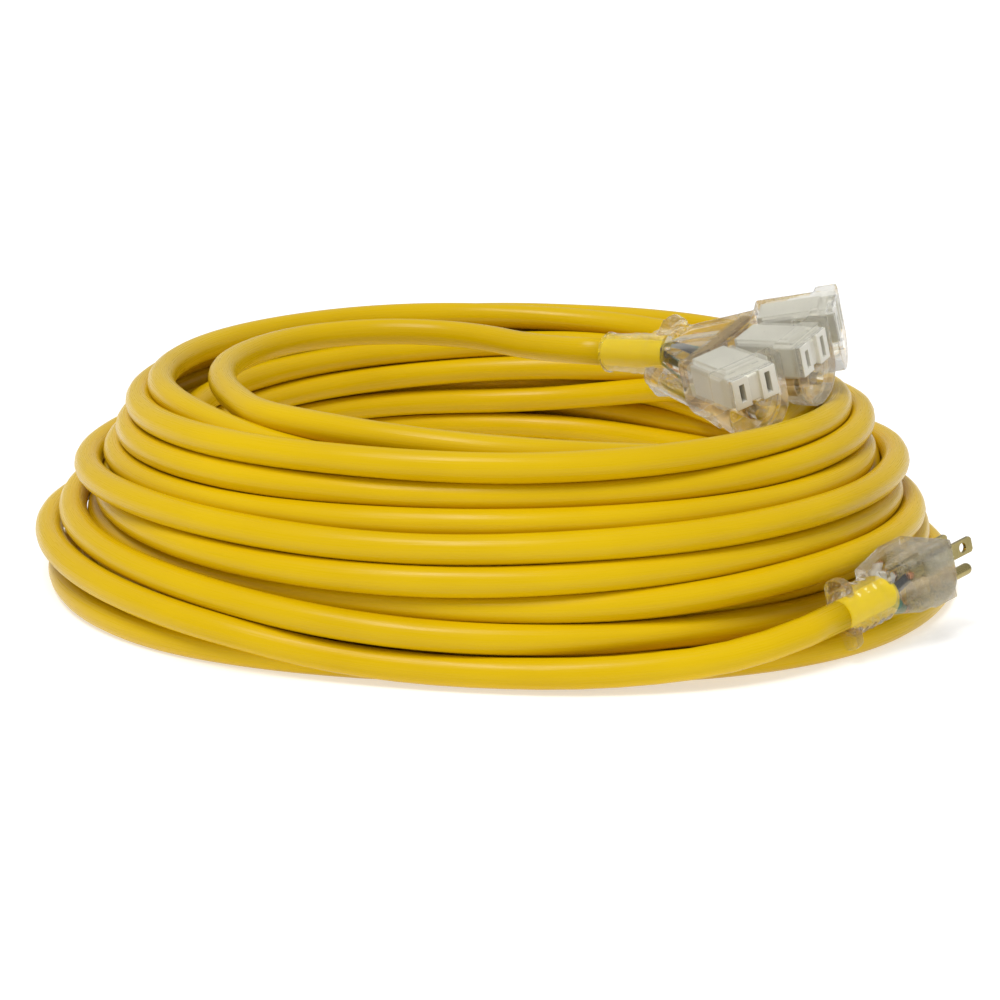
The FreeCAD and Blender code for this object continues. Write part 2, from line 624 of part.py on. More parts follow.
def ground_contact(name, place):
    """Round sleeve that takes a ground pin, with a tail back to the ground bus bar."""
    level = "slot_rise - ground_drop"
    outside = rod("sleeve_outside", "sleeve_diameter", "sleeve_length",
                  ("-ground_bore_depth - sleeve_length", "0", level))
    tail = block("ground_tail",
                 ("insert_length + clip_tail - ground_bore_depth - sleeve_length + clip_sheet",
                  "clip_sheet", "tail_height"),
                 ("-insert_length - clip_tail", "-clip_sheet / 2",
                  "slot_rise - ground_drop - tail_height / 2"))
    inside = rod("sleeve_inside", "sleeve_diameter - 2 * clip_sheet", "sleeve_length - clip_sheet",
                 ("-ground_bore_depth - sleeve_length + clip_sheet", "0", level))
    laid(cut(name, fused(name + "_whole", [outside, tail]), [inside]), TAP_POSE.multiply(place))


def bus_bar(name, low):
    """Flat brass strip across the tap that joins one contact of each outlet."""
    strip = block(name + "_strip", ("bar_width", "bar_span", "clip_sheet"),
                  ("bar_start", "-bar_span / 2", low))
    laid(grouped(name, [strip]), TAP_POSE)


def tap_wiring():
    """Jacket end and the three conductors from it to the bus bars."""
    jacket = rod("tap_jacket", "cord_diameter", "tap_jacket_reach", ("0", "0", "0"))
    laid(grouped("tap_jacket_end", [jacket]), TAP_POSE)
    start = size("tap_jacket_reach")
    end = size("bar_start") - size("conductor_gap")
    fork = start + 2 * size("conductor_diameter")
    # Each conductor: where it leaves the jacket, where it turns and where it meets its bar.
    for colour, route in (
        ("black", [(start, -2.4, 1.6), (fork, -4.5, 3.0), (end, -13.0, 5.0)]),
        ("white", [(start, 2.4, 1.6), (fork, 4.0, 2.0), (end, 10.0, 1.5)]),
        ("green", [(start, 0.0, -2.8), (fork, -1.0, -4.5), (end, -4.0, -6.6)]),
    ):
        points = [Vector(*point) for point in route]
        laid(tube("tap_%s_conductor" % colour, points, size("conductor_diameter")), TAP_POSE)


def indicator():
    """Small lamp that shows the cord is live, and the resistor in line with it."""
    bulb = rod("lamp_bulb", "lamp_diameter", "lamp_length - lamp_diameter / 2",
               ("lamp_reach", "lamp_across", "-lamp_drop"))
    dome = doc.addObject("Part::Sphere", "lamp_dome")
    bind(dome, "Radius", "lamp_diameter / 2")
    for letter, text in zip("xyz", ("lamp_reach", "lamp_across", "-lamp_drop")):
        bind(dome, "Placement.Base." + letter, text)
    leads = []
    for side in ("-", "+"):
        leads.append(rod("lamp_lead", "lead_wire", "lamp_lead_length",
                         ("lamp_reach + lamp_length - lamp_diameter / 2",
                          "lamp_across %s lamp_lead_spacing / 2" % side, "-lamp_drop")))
    laid(fused("indicator_lamp", [bulb, dome] + leads), TAP_POSE)
    coated = rod("resistor_coating", "resistor_diameter", "resistor_length",
                 ("resistor_reach", "-resistor_across", "-lamp_drop"))
    wire = rod("resistor_leads", "lead_wire", "resistor_length + 2 * resistor_lead",
               ("resistor_reach - resistor_lead", "-resistor_across", "-lamp_drop"))
    laid(fused("indicator_resistor", [coated, wire]), TAP_POSE)


def build():
    cord_coil()
    lead("cord_lead_to_plug", PLUG_ROUTE, PLUG_POSE, Vector(-size("plug_length"), 0, -size("plug_below")))
    lead("cord_lead_to_tap", TAP_ROUTE, TAP_POSE, Vector(0, 0, 0))
    plug_body()
    plug_carrier()
    flat_blade("hot_blade", "-blade_spacing / 2")
    flat_blade("neutral_blade", "blade_spacing / 2")
    ground_pin()
    plug_wiring()
    places = outlet_places()
    tap_body(places)
    for outlet, place in places.items():
        outlet_insert(outlet, place)
        blade_contact("%s_hot_contact" % outlet, place, "-blade_spacing / 2", "hot_bar_rise - tail_height")
        blade_contact("%s_neutral_contact" % outlet, place, "blade_spacing / 2", "-neutral_bar_drop")
        ground_contact("%s_ground_contact" % outlet, place)
    bus_bar("hot_bus_bar", "hot_bar_rise")
    bus_bar("neutral_bus_bar", "-neutral_bar_drop - clip_sheet")
    bus_bar("ground_bus_bar", "slot_rise - ground_drop - tail_height / 2 - clip_sheet")
    tap_wiring()
    indicator()


def write_parts():
    """Check every object, then write each sub-part to its own file."""
    failed = [o.Name for o in doc.Objects if {"Invalid", "Error"} & set(o.State)]
    if failed:
        raise RuntimeError("failed objects: %s" % failed)
    os.makedirs("parts", exist_ok=True)
    for piece in sub_parts:
        if piece.Shape.isNull() or not piece.Shape.isValid():
            raise RuntimeError("bad shape: %s" % piece.Name)
        piece.Label = piece.Name
        piece.Shape.exportStep("parts/%s.step" % piece.Name)
        print("%s: %d solid(s), %.0f cubic mm" % (piece.Name, len(piece.Shape.Solids), piece.Shape.Volume))


sub_parts = []
build()
doc.recompute()
write_parts()
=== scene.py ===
import math
import bmesh
import bpy
import numpy as np
from mathutils import Matrix, Vector


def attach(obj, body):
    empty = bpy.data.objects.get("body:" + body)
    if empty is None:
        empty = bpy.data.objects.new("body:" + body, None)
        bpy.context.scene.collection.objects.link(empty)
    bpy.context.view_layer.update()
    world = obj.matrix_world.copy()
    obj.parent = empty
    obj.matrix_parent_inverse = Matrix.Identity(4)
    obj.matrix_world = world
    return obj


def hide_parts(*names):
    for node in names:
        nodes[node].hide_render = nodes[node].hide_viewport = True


# A coiled yellow extension cord with a clear plug and a clear three-outlet tap, in metres.
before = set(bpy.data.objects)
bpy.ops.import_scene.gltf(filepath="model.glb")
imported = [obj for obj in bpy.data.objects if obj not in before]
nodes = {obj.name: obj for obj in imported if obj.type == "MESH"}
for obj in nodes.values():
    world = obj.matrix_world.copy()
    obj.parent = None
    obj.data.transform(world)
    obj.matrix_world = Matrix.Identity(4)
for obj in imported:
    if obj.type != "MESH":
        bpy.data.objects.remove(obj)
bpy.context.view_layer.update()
MM = 0.001

# ---------------------------------------------------------------- camera, first
CAMERA_LENS = 89.1                           # millimetres, on the sensor below
CAMERA_SENSOR = 36.0
CAMERA_PLACE = (0.002, -1.0625, 0.3097)
CAMERA_TILT = 75.0                           # degrees up from straight down
camera_data = bpy.data.cameras.new("camera")
camera_data.lens = CAMERA_LENS
camera_data.sensor_width = CAMERA_SENSOR
camera_data.clip_start = 0.05
camera = bpy.data.objects.new("camera", camera_data)
bpy.context.scene.collection.objects.link(camera)
camera.location = CAMERA_PLACE
camera.rotation_euler = (math.radians(CAMERA_TILT), 0.0, 0.0)
bpy.context.scene.camera = camera


def end_pose(x, y, z, yaw, pitch, roll):
    """Matrix of an end's local frame: +X along the cord axis, millimetres in, metres out."""
    turn = (Matrix.Rotation(math.radians(yaw), 4, "Z") @ Matrix.Rotation(math.radians(-pitch), 4, "Y")
            @ Matrix.Rotation(math.radians(roll), 4, "X"))
    return Matrix.Translation((x * MM, y * MM, z * MM)) @ turn @ Matrix.Scale(MM, 4)


# Both ends, as in the part's source. The plug's origin is on its face between the flat blades, the tap's
# at its cord entry.
PLUG = end_pose(173.0, -117.0, 33.0, 40.0, 9.5, -9.5)
TAP = end_pose(49.6, 5.0, 91.0, -38.0, 5.1, 15.3)
PLUG_LENGTH = 54.0
PLUG_DROP = 5.0                              # of the cord's axis below the plug's origin
OUTLET_REACH = 106.0                         # from the cord entry to the middle outlet's face
OUTLET_SETBACK = 8.0                         # of the two side outlets' faces
OUTLET_PITCH = 35.0                          # sideways, from one outlet to the next
OUTLET_FAN = 25.0                            # degrees that a side outlet turns outward

# ---------------------------------------------------------------- the cord's turns
# Millimetres. Each turn, in the order the cord runs from the plug: distance from the coil's axis, then
# height, at the right, front right, front, front left, left, back left, back and back right; then how
# firmly the turn keeps to those places. None where that turn has already become a lead. The first turn
# starts at the plug; its stretch along the plug's lead only makes room for that lead.
CORD = 12.0
PLACES = (360, 315, 270, 225, 180, 135, 90, 45)
TURNS = [
    ((210, 205, 184, 193, 197, 190, 186, 190), (40, 24, 7, 20, 22, 14, 8, 6), 6),
    ((190, 208, 170, 197, 189, 186, 184, 186), (6, 6, 6, 6, 6, 6, 6, 6), 3),
    ((178, 196, 162, 187, 176, 174, 172, 174), (6, 6, 6, 6, 6, 6, 6, 6), 0.4),
    ((166, 184, 150, 175, 164, 162, 160, 162), (6, 6, 6, 6, 6, 6, 6, 6), 0.4),
    ((154, 172, 138, 163, 152, 150, 148, 150), (6, 6, 6, 6, 6, 6, 6, 6), 0.4),
    ((142, 160, 134, 151, 140, 138, 136, 138), (6, 6, 14, 8, 6, 6, 6, 6), 0.4),
    ((136, 142, 136, 136, 140, 136, 138, 136), (16, 16, 26, 18, 16, 16, 16, 16), 0.4),
    ((148, 154, 146, 148, 152, 148, 150, 148), (16, 16, 16, 16, 16, 16, 16, 16), 0.4),
    ((160, 166, 156, 160, 164, 160, 162, 162), (16, 16, 16, 16, 16, 16, 16, 16), 0.4),
    ((176, 184, 168, 172, 176, 178, 180, 184), (20, 25, 19, 15, 14, 16, 17, 18), 2),
    ((187, 174, 179, 186, 185, 182, 178, 176), (16, 8, 15, 30, 32, 28, 24, 22), 2),
    ((183, 180, 170, 176, 173, 172, 174, 180), (28, 34, 27, 35, 27, 26, 27, 28), 2),
    ((171, 168, 159, 164, 156, 158, 162, 168), (27, 27, 27, 27, 27, 27, 27, 27), 0.4),
    ((159, 156, 147, 152, 144, 146, 150, 156), (27, 27, 27, 27, 27, 27, 27, 27), 0.4),
    ((147, 144, 135, 140, 134, 136, 140, 144), (27, 27, 37, 30, 30, 27, 27, 27), 0.4),
    ((148, 148, 148, 152, 144, 146, 148, 148), (37, 37, 37, 37, 37, 37, 37, 37), 0.4),
    ((160, 160, 160, 164, 156, 158, 160, 160), (37, 37, 37, 37, 37, 37, 37, 37), 0.4),
    ((172, 172, 172, 178, 168, 170, 172, 170), (37, 43, 38, 41, 40, 39, 38, 37), 2),
    ((173, 170, 168, 174, 179, 172, 168, 170), (49, 54, 49, 52, 45, 46, 49, 49), 2),
    ((161, 158, 156, 162, 164, 160, 156, 158), (48, 48, 48, 48, 48, 48, 48, 48), 0.4),
    ((149, 146, 144, 150, 152, 148, 144, 146), (48, 48, 48, 48, 48, 48, 48, 48), 0.4),
    ((137, 135, 133, 138, 140, 136, 134, 135), (48, 48, 48, 48, 48, 48, 48, 48), 0.4),
    ((139, 140, 139, 141, 138, 137, 136, 138), (59, 59, 59, 58, 58, 58, 58, 59), 0.4),
    ((149, 150, 151, 153, 150, 149, 148, 149), (59, 59, 59, 58, 58, 58, 58, 59), 0.4),
    ((161, 166, 163, 165, 165, 162, 160, 160), (60, 57, 58, 57, 53, 56, 59, 60), 2),
    ((151, 160, 156, 165, 158, 156, 154, 152), (66, 65, 69, 68, 65, 66, 67, 66), 2),
    ((140, 143, 144, 148, 146, 144, 142, 141), (70, 70, 69, 69, 68, 68, 68, 70), 0.4),
    ((153, 152, 154, 159, 153, 154, 153, 152), (71, 73, 74, 80, 73, 75, 77, 80), 2),
    ((141, 137, 141, 149, 144, 145, 147, 145), (75, 61, 72, 90, 82, 83, 81, 76), 2),
    ((138, 143, 147, 139, None, None, None, None), (65, 72, 84, 88, None, None, None, None), 4),
]
PER_TURN = 48                                # stations in each turn
STEP = 360.0 / PER_TURN
LEAD_ANGLE = 312.0                           # where the plug's lead would touch the coil
FIRST_ANGLE = 240.0                          # where the plug's lead leaves the coil
LAST_ANGLE = 232.5                           # where the tap's lead leaves it
INNER_LIMIT = 131.0                          # least distance of a turn's centre from the coil's axis

# How the turns settle.
ROUNDS = 600
PUSHES = 4                                   # times in a round that touching turns are pushed apart
PUSH = 0.6                                   # share of an overlap that one push takes away
CLEARANCE = 1.005                            # turns keep this many diameters apart
LOOSE = 1                                    # a turn that holds less than this is hidden and free to sink
LOOSE_PULL = 0.008                           # towards its listed place, fading out
FIRM_PULL = 0.03                             # the same for a turn that shows
STEADY_PULL = 0.012                          # and what stays of it to the end
SINK = 0.2                                   # how far a loose turn drops in a round, fading out
EVENING = 0.7                                # how much each point follows its neighbours along the cord

# Under the tap the inner turns keep below its outlets, between two angles.
ROOF_FROM, ROOF_TO = 300.0, 356.0
ROOF = 67.0
ROOF_RADIUS = 147.0                          # turns further out than this are clear of the tap
ROOF_LIFTS = ((0.55, 322.0, 1), (4.0, 318.0, -1))   # rise per degree, from an angle, which way
ROOF_LIFT_SPAN = 40.0
NO_ROOF = 200.0


def curved(at, angle, value):
    """Smooth curve through evenly spaced values."""
    value = np.concatenate([value[:1], value, value[-1:], value[-1:]])
    spot = np.clip((at - angle[0]) / (angle[1] - angle[0]), 0, len(angle) - 1)
    n = spot.astype(int)
    t = spot - n
    a, b, c, d = value[n], value[n + 1], value[n + 2], value[n + 3]
    return b + 0.5 * t * (c - a + t * (2 * a - 5 * b + 4 * c - d + t * (3 * (b - c) + d - a)))


def eased(values, times):
    """Average each value with its neighbours along the cord, ends held."""
    for _ in range(times):
        new = values.copy()
        new[1:-1] = 0.25 * values[:-2] + 0.5 * values[1:-1] + 0.25 * values[2:]
        values = new
    return values


def settled_turns():
    """Points of all turns, in metres, pushed apart until no two lie closer than the cord is thick."""
    angle, radius, height, firm = [], [], [], []
    for k, (radii, heights, hold) in enumerate(TURNS):
        for place, r, z in zip(PLACES, radii, heights):
            if r is not None:
                angle.append(360.0 * (k + 1) - place)
                radius.append(r)
                height.append(z)
                firm.append(hold)
    start = 360.0 - LEAD_ANGLE
    end = 360.0 * len(TURNS) - LAST_ANGLE
    at = start + STEP * np.arange(int(round((end - start) / STEP)) + 1)
    aim = np.stack([eased(curved(at, angle, np.array(radius, float)), 2),
                    eased(curved(at, angle, np.array(height, float)), 2)], 1)
    aim[:, 1] = np.maximum(aim[:, 1], CORD / 2)
    azimuth = (360.0 - at) % 360.0
    rise = sum(steep * np.clip(way * (azimuth - edge), 0, ROOF_LIFT_SPAN)
               for steep, edge, way in ROOF_LIFTS)
    roof = np.where((azimuth > ROOF_FROM) & (azimuth < ROOF_TO), ROOF + rise, NO_ROOF)
    hold = np.interp(at, angle, firm)
    station = np.round((at - start) / STEP).astype(int) % PER_TURN
    groups = [np.where(station == s)[0] for s in range(PER_TURN)]
    before_coil = at < 360.0 - FIRST_ANGLE
    here = aim.copy()
    for n in range(ROUNDS):
        fade = 1.0 - n / ROUNDS
        pull = np.where(hold < LOOSE, LOOSE_PULL * fade, FIRM_PULL * hold * fade + STEADY_PULL * hold)
        here += (aim - here) * pull[:, None]
        here[:, 1] -= SINK * (hold < LOOSE) * fade
        here[:, 1] = np.where(here[:, 0] < ROOF_RADIUS, np.minimum(here[:, 1], roof), here[:, 1])
        for _ in range(PUSHES):
            for group in groups:
                spots = here[group]
                gap = spots[:, None] - spots[None]
                far = np.sqrt((gap ** 2).sum(2)) + np.eye(len(group)) * 1e3     # never near itself
                deep = np.clip(CORD * CLEARANCE - far, 0, None)
                if deep.max() > 0:
                    h = hold[group]
                    share = h[None] / (h[:, None] + h[None])
                    here[group] += PUSH * (gap / far[..., None] * (deep * share)[..., None]).sum(1)
            here[:, 1] = np.maximum(here[:, 1], CORD / 2)
            here[:, 0] = np.maximum(here[:, 0], INNER_LIMIT)
        here += EVENING * (eased(here, 1) - here)
        here[before_coil] = aim[before_coil]
        here[-1] = aim[-1]
    here = eased(here, 1)
    here, at = here[~before_coil], at[~before_coil]
    turn = np.radians(360.0 - at)
    points = np.stack([here[:, 0] * np.cos(turn), here[:, 0] * np.sin(turn), here[:, 1]], 1)
    return points * MM


# Points of the uncoiled stretches, as in the part's source, from the coil towards each end.
PLUG_ROUTE = [(-0.062, -0.172, 0.009), (-0.010, -0.184, 0.007), (0.045, -0.188, 0.008)]
TAP_ROUTE = [(-0.100, -0.092, 0.088), (-0.114, -0.054, 0.0885), (-0.118, -0.014, 0.0885),
             (-0.108, 0.024, 0.088), (-0.089, 0.048, 0.0885), (-0.062, 0.0615, 0.089),
             (-0.032, 0.0625, 0.089), (-0.004, 0.0505, 0.0885)]
ENTRY_RUN = 40.0                             # straight stretch before each end, millimetres
plug_entry = PLUG @ Vector((-PLUG_LENGTH, 0, -PLUG_DROP))
plug_run = PLUG @ Vector((-PLUG_LENGTH - ENTRY_RUN, 0, -PLUG_DROP))
tap_entry = TAP @ Vector((0, 0, 0))
tap_run = TAP @ Vector((-ENTRY_RUN, 0, 0))


def spline_points(points):
    """Points along the smooth curve that has these as its control points."""
    curve = bpy.data.curves.new("cord_line", "CURVE")
    curve.dimensions = "3D"
    curve.resolution_u = 4
    spline = curve.splines.new("NURBS")
    spline.points.add(len(points) - 1)
    for point, place in zip(spline.points, points):
        point.co = (*place, 1.0)
    spline.order_u = 3
    spline.use_endpoint_u = True
    holder = bpy.data.objects.new("cord_line", curve)
    bpy.context.scene.collection.objects.link(holder)
    bpy.context.view_layer.update()
    shaped = holder.evaluated_get(bpy.context.evaluated_depsgraph_get())
    mesh = bpy.data.meshes.new_from_object(shaped)
    line = np.array([v.co[:] for v in mesh.vertices])
    bpy.data.meshes.remove(mesh)
    bpy.data.objects.remove(holder)
    bpy.data.curves.remove(curve)
    return line


CORD_SIDES = 16
LAY_SWELL = 0.016                            # swelling over the conductors, as a share of the radius
LAY_LENGTH = 0.11                            # in which the conductors go once round, metres
STREAK_SCALE = 10.0                          # of the streaks along the cord, per metre


def tube_mesh(name, line, radius, around, lay, lay_length):
    """Round tube along a line, very slightly swollen over the three conductors twisted inside."""
    ahead = np.gradient(line, axis=0)
    ahead /= np.linalg.norm(ahead, axis=1)[:, None]
    side = np.cross(ahead, (0.0, 0.0, 1.0))
    side /= np.linalg.norm(side, axis=1)[:, None]
    top = np.cross(side, ahead)
    run = np.concatenate([[0.0], np.cumsum(np.linalg.norm(np.diff(line, axis=0), axis=1))])
    turn = 2 * np.pi * np.arange(around) / around
    swell = radius * (1 + lay * np.cos(3 * turn[None] + 2 * np.pi * run[:, None] / lay_length))
    rings = (line[:, None] + swell[..., None] * (np.cos(turn)[None, :, None] * side[:, None]
                                                + np.sin(turn)[None, :, None] * top[:, None]))
    count = len(line)
    i = np.arange(count - 1)[:, None] * around
    j = np.arange(around)[None]
    k = (j + 1) % around
    quads = np.stack([i + j, i + k, i + around + k, i + around + j], 2).reshape(-1, 4)
    mesh = bpy.data.meshes.new(name)
    mesh.from_pydata(rings.reshape(-1, 3).tolist(), [], quads.tolist())
    uv = mesh.uv_layers.new(name="along")
    u = np.stack([j + 0 * i, j + 1 + 0 * i, j + 1 + 0 * i, j + 0 * i], 2).reshape(-1) / around
    row = np.arange(count - 1)[:, None] + 0 * j
    v = np.stack([run[row], run[row], run[row + 1], run[row + 1]], 2).reshape(-1)
    uv.data.foreach_set("uv", np.stack([u, v * STREAK_SCALE], 1).reshape(-1).astype(np.float32))
    caps = bmesh.new()
    caps.from_mesh(mesh)
    caps.verts.ensure_lookup_table()
    caps.faces.new([caps.verts[n] for n in range(around)][::-1])
    caps.faces.new([caps.verts[(count - 1) * around + n] for n in range(around)])
    bmesh.ops.recalc_face_normals(caps, faces=caps.faces)
    caps.to_mesh(mesh)
    caps.free()
    mesh.polygons.foreach_set("use_smooth", [True] * len(mesh.polygons))
    return mesh


def shown(name, mesh, material=None):
    """Object for a mesh, in the scene."""
    piece = bpy.data.objects.new(name, mesh)
    bpy.context.scene.collection.objects.link(piece)
    if material:
        mesh.materials.append(material)
    return piece


# ---------------------------------------------------------------- materials
NOISE_LOW, NOISE_HIGH = 0.3, 0.7             # most of a noise texture's values lie between these
FINE = 0.0002                                # height of the finest bumps, metres
COARSE = 0.0008                              # height of streaks and moulding ripple


class Stuff:
    """A material with its nodes at hand."""

    def __init__(self, name, colour, rough, **inputs):
        self.material = bpy.data.materials.new(name)
        self.material.use_nodes = True
        self.tree = self.material.node_tree
        self.shader = self.tree.nodes["Principled BSDF"]
        self.shader.inputs["Base Color"].default_value = (*colour, 1)
        self.shader.inputs["Roughness"].default_value = rough
        for key, amount in inputs.items():
            self.shader.inputs[key.replace("_", " ")].default_value = amount

    def node(self, kind, **settings):
        made = self.tree.nodes.new(kind)
        for key, setting in settings.items():
            if key in made.inputs:
                made.inputs[key].default_value = setting
            else:
                setattr(made, key, setting)
        return made

    def link(self, a, b):
        self.tree.links.new(a, b)

    def noise(self, scale, detail, stretch=(1, 1, 1), source="Object"):
        place = self.node("ShaderNodeTexCoord")
        shape = self.node("ShaderNodeMapping")
        shape.inputs["Scale"].default_value = stretch
        grain = self.node("ShaderNodeTexNoise", Scale=scale, Detail=detail)
        self.link(place.outputs[source], shape.inputs["Vector"])
        self.link(shape.outputs["Vector"], grain.inputs["Vector"])
        return grain.outputs["Fac"]

    def ramp(self, fac, stops):
        ramp = self.node("ShaderNodeValToRGB")
        for element, (position, colour) in zip(ramp.color_ramp.elements, stops):
            element.position = position
            element.color = (*colour, 1)
        self.link(fac, ramp.inputs["Fac"])
        return ramp.outputs["Color"]

    def spread(self, fac, low, high):
        scale = self.node("ShaderNodeMapRange")
        for key, amount in (("From Min", NOISE_LOW), ("From Max", NOISE_HIGH),
                            ("To Min", low), ("To Max", high)):
            scale.inputs[key].default_value = amount
        self.link(fac, scale.inputs["Value"])
        return scale.outputs["Result"]

    def bump(self, fac, strength, distance, before=None):
        bump = self.node("ShaderNodeBump", Strength=strength, Distance=distance)
        self.link(fac, bump.inputs["Height"])
        if before:
            self.link(before, bump.inputs["Normal"])
        return bump.outputs["Normal"]

    def finish(self, colour, rough, normal):
        for key, made in (("Base Color", colour), ("Roughness", rough), ("Normal", normal)):
            self.link(made, self.shader.inputs[key])
        return self.material


def jacket_material(name, dark, light):
    """Yellow PVC: semi-gloss, with faint drawn streaks, slow colour drift and scuffs."""
    stuff = Stuff(name, light, 0.3, Specular_IOR_Level=0.17)
    drift = stuff.noise(14.0, 3.0)
    streaks = stuff.noise(9.0, 4.0, (6.0, 0.35, 1.0), "UV")
    colour = stuff.ramp(drift, [(NOISE_LOW, dark), (NOISE_HIGH, light)])
    grain = stuff.noise(900.0, 2.0)
    normal = stuff.bump(streaks, 0.14, COARSE)
    normal = stuff.bump(grain, 0.05, FINE, normal)
    return stuff.finish(colour, stuff.spread(streaks, 0.22, 0.38), normal)


def clear_material(name, tint, rough, see_through, solid):
    """Clear PVC: faintly tinted, a little cloudy, with moulding ripple.

    Where solid is below 1, some light also goes straight on, without being refracted.
    """
    stuff = Stuff(name, tint, rough, Transmission_Weight=see_through, IOR=1.4, Alpha=solid)
    ripple = stuff.noise(60.0, 3.0)
    fine = stuff.noise(420.0, 2.0)
    bright = tuple(min(1.0, 1.03 * c) for c in tint)
    colour = stuff.ramp(ripple, [(NOISE_LOW, tint), (NOISE_HIGH, bright)])
    normal = stuff.bump(ripple, 0.12, COARSE)
    normal = stuff.bump(fine, 0.05, FINE, normal)
    return stuff.finish(colour, stuff.spread(fine, rough * 0.7, rough * 1.4), normal)


def plastic_material(name, colour, rough):
    """Opaque moulded plastic with a fine grain."""
    stuff = Stuff(name, colour, rough)
    cloud = stuff.noise(45.0, 3.0)
    fine = stuff.noise(700.0, 2.0)
    shade = stuff.ramp(cloud, [(NOISE_LOW, tuple(0.88 * c for c in colour)), (NOISE_HIGH, colour)])
    return stuff.finish(shade, stuff.spread(fine, rough * 0.8, min(1.0, rough * 1.25)),
                        stuff.bump(fine, 0.12, FINE))


def metal_material(name, colour, rough, brushed=(1, 1, 1)):
    """Stamped or drawn metal with brushing and a slight tarnish."""
    stuff = Stuff(name, colour, rough, Metallic=1.0)
    tarnish = stuff.noise(90.0, 4.0)
    lines = stuff.noise(500.0, 3.0, brushed)
    shade = stuff.ramp(tarnish, [(NOISE_LOW, tuple(0.72 * c for c in colour)), (0.65, colour)])
    return stuff.finish(shade, stuff.spread(lines, rough * 0.75, rough * 1.4),
                        stuff.bump(lines, 0.15, FINE))


def stranded_material():
    """Copper strands laid round one another."""
    stuff = Stuff("stranded_copper", (0.80, 0.38, 0.20), 0.3, Metallic=1.0)
    wave = stuff.node("ShaderNodeTexWave", Scale=380.0, Distortion=0.6, Detail=1.0)
    place = stuff.node("ShaderNodeTexCoord")
    stuff.link(place.outputs["Object"], wave.inputs["Vector"])
    strands = wave.outputs["Fac"]
    shade = stuff.ramp(strands, [(0.1, (0.38, 0.15, 0.07)), (0.6, (0.85, 0.44, 0.25))])
    return stuff.finish(shade, stuff.spread(strands, 0.22, 0.4), stuff.bump(strands, 0.5, 0.0003))


# The jacket's ends are painted lighter than the rest of the cord. This is painted light, making up for
# the light and the shade that the clear plastic over them takes away and casts.
YELLOW = jacket_material("yellow_pvc", (0.64, 0.41, 0.0005), (0.71, 0.47, 0.0008))
YELLOW_PAINTED_LIGHT_END = jacket_material("yellow_pvc_painted_light_in_clear", (0.90, 0.64, 0.0006), (0.98, 0.72, 0.001))
CLEAR = clear_material("clear_pvc", (0.96, 0.95, 0.87), 0.05, 0.96, 0.62)
CARRIER = clear_material("clear_carrier_pvc", (0.96, 0.95, 0.89), 0.15, 0.7, 0.55)
IVORY = plastic_material("white_insert_plastic", (0.76, 0.74, 0.65), 0.34)
BRASS = metal_material("blade_brass", (0.46, 0.38, 0.16), 0.26, (1.0, 6.0, 1.0))
SPRING = metal_material("spring_brass", (0.70, 0.52, 0.24), 0.34)
BLACK = plastic_material("black_insulation", (0.012, 0.013, 0.015), 0.36)
WHITE = plastic_material("white_insulation", (0.80, 0.80, 0.78), 0.40)
GREEN = plastic_material("green_insulation", (0.010, 0.16, 0.10), 0.38)
COPPER = stranded_material()
LENS = clear_material("lamp_lens", (0.95, 0.55, 0.30), 0.08, 0.8, 1.0)
RESISTOR = plastic_material("resistor_coating", (0.55, 0.43, 0.28), 0.45)

# ---------------------------------------------------------------- the cord
turns = settled_turns()
control = ([tuple(tap_entry), tuple(tap_run)] + TAP_ROUTE[::-1] + [tuple(p) for p in turns[::-1]]
           + PLUG_ROUTE + [tuple(plug_run), tuple(plug_entry)])
line = spline_points(control)
cord = shown("cord", tube_mesh("cord", line, CORD / 2 * MM, CORD_SIDES, LAY_SWELL, LAY_LENGTH), YELLOW)
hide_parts("cord_coil", "cord_lead_to_plug", "cord_lead_to_tap")
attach(cord, "root")


# ---------------------------------------------------------------- moulded shapes, built in millimetres
ROUND_SIDES = 40                             # of a rod and a ring
RING_SIDES = 10                              # of a ring's own section
ARC_STEPS = 24                               # of a round-bottomed profile


